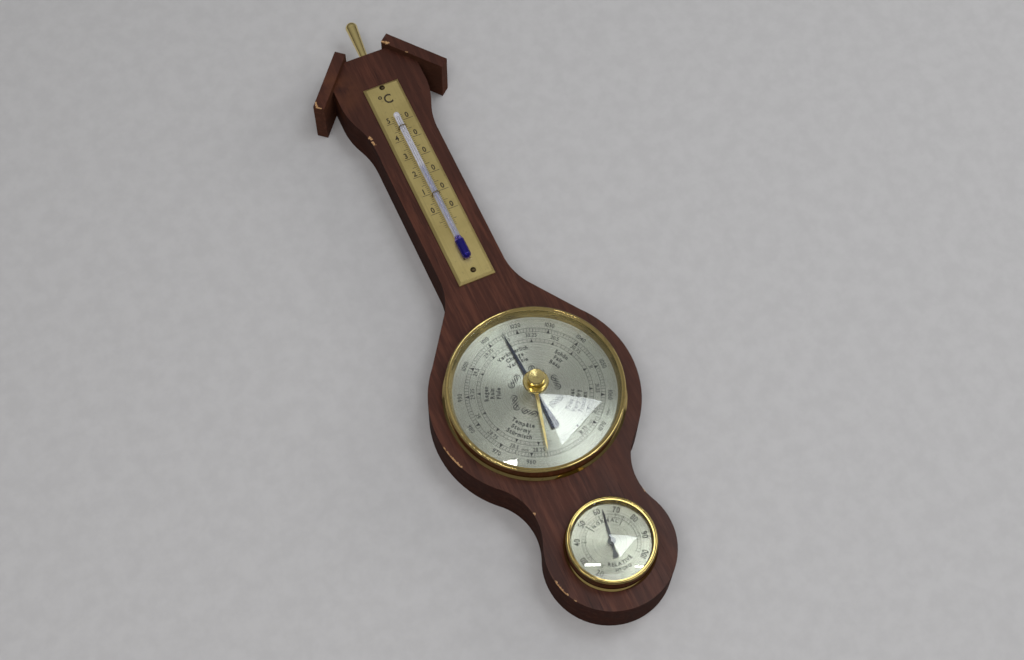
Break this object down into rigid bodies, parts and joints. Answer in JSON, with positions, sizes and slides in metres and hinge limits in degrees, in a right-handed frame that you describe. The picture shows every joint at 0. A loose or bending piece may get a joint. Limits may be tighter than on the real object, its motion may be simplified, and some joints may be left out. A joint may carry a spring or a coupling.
{
  "type": "wall weather station",
  "caption": "Banjo-shaped wall weather station on a stained board: aneroid barometer with set hand, glass thermometer on a brass plate and coil hygrometer, with pediment boards and finial",
  "frame": {"origin": "middle of the bounding box at its bottom; the instrument lies on its flat back, so z = 0 is the back of the board", "axes": "+Z points out of the dials, +Y runs up the neck towards the finial, +X is to the reader's right"},
  "size_m": [0.122, 0.4231, 0.0523],
  "materials": {
    "stained_wood": "satin mahogany stain, worn pale at the edges",
    "polished_brass": "polished",
    "plate_brass": "satin, lacquered",
    "clip_wire": "drawn wire",
    "clear_glass": "clear",
    "blue_spirit": "dyed spirit, wet",
    "dark_screw": "dark patina",
    "hanger_steel": "yellow plated",
    "case_metal": "yellow plated, drawn",
    "white_spacer": "matte",
    "silver_dial": "spun, silvered and lacquered",
    "champagne_dial": "spun, champagne anodised",
    "blued_steel": "blued",
    "black_hand": "black enamel",
    "movement_steel": "plain",
    "movement_brass": "machined",
    "capsule_metal": "corrugated, bright",
    "coil_strip": "strip with a moisture-taking coating"
  },
  "bodies": {
    "housing": {"backboard": "stained_wood", "pediment_left": "stained_wood", "pediment_right": "stained_wood", "finial": "polished_brass", "hanging_plate": "hanger_steel", "hanging_screws": "hanger_steel", "thermometer_plate": "plate_brass", "thermometer_tube": "clear_glass", "thermometer_fluid": "blue_spirit", "tube_clips": "clip_wire", "plate_screws": "dark_screw", "barometer_case": "case_metal", "dial_spacer": "white_spacer", "barometer_dial": "silver_dial", "sight_ring": "polished_brass", "barometer_glass": "clear_glass", "barometer_bezel": "polished_brass", "knob_collar": "polished_brass", "collar_nut": "polished_brass", "base_plate": "movement_steel", "base_spacers": "movement_brass", "case_screws": "movement_steel", "dial_pillars": "movement_brass", "aneroid_capsule": "capsule_metal", "lever_bracket": "movement_steel", "lever_pin": "movement_steel", "rocking_bracket": "movement_steel", "hairspring": "blued_steel", "arbor_cock": "movement_brass", "arbor_bridge": "movement_brass", "bridge_screws": "blued_steel", "hygrometer_case": "case_metal", "hygrometer_spacer": "white_spacer", "hygrometer_dial": "champagne_dial", "hygrometer_sight_ring": "polished_brass", "hygrometer_glass": "clear_glass", "hygrometer_bezel": "polished_brass", "hygrometer_bush": "movement_brass", "hygrometer_coil": "coil_strip", "hygrometer_frame": "movement_brass", "frame_screws": "movement_steel"},
    "setting_knob": {"set_knob": "polished_brass", "set_hand": "polished_brass"},
    "pressure_hand": {"pressure_hand": "blued_steel", "hand_arbor": "movement_steel", "chain_pulley": "movement_brass"},
    "rocking_shaft": {"rocking_shaft": "movement_steel"},
    "main_lever": {"main_lever": "movement_brass", "link_rod": "movement_steel"},
    "drive_chain": {"drive_chain": "movement_steel"},
    "adjusting_screw": {"adjusting_screw": "movement_brass"},
    "hygrometer_hand": {"hygrometer_hand": "black_hand", "hygrometer_arbor": "movement_steel"}
  },
  "joints": [
    {"name": "pressure_hand_turn", "type": "hinge", "parent": "housing", "child": "pressure_hand", "pos_m": [0, -0.07598, 0.032], "axis": [0, 0, 1], "range_deg": [-147, 148]},
    {"name": "rocking_shaft_turn", "type": "hinge", "parent": "housing", "child": "rocking_shaft", "pos_m": [0.026, -0.07598, 0.012], "axis": [0, 1, 0], "range_deg": [-14.2, 14.3]},
    {"name": "main_lever_turn", "type": "hinge", "parent": "housing", "child": "main_lever", "pos_m": [-0.022, -0.07598, 0.0172], "axis": [0, 1, 0], "range_deg": [-1.05, 1.05]},
    {"name": "drive_chain_slide", "type": "slide", "parent": "housing", "child": "drive_chain", "axis": [1, 0, 0], "range_m": [-0.00312, 0.00314]},
    {"name": "set_knob_turn", "type": "hinge", "parent": "housing", "child": "setting_knob", "pos_m": [0, -0.07598, 0.044], "axis": [0, 0, 1], "continuous": true},
    {"name": "adjusting_screw_turn", "type": "hinge", "parent": "housing", "child": "adjusting_screw", "pos_m": [0, -0.07598, 0.006], "axis": [0, 0, 1], "range_deg": [-360, 360]},
    {"name": "hygrometer_hand_turn", "type": "hinge", "parent": "housing", "child": "hygrometer_hand", "pos_m": [0, -0.17478, 0.034], "axis": [0, 0, 1], "range_deg": [-125, 145]}
  ],
  "couplings": [
    {"joint": "rocking_shaft_turn", "follows": "pressure_hand_turn", "ratio": 0.09524},
    {"joint": "main_lever_turn", "follows": "pressure_hand_turn", "ratio": -0.006803},
    {"joint": "drive_chain_slide", "follows": "pressure_hand_turn", "m_per_rad": 0.0012}
  ]
}
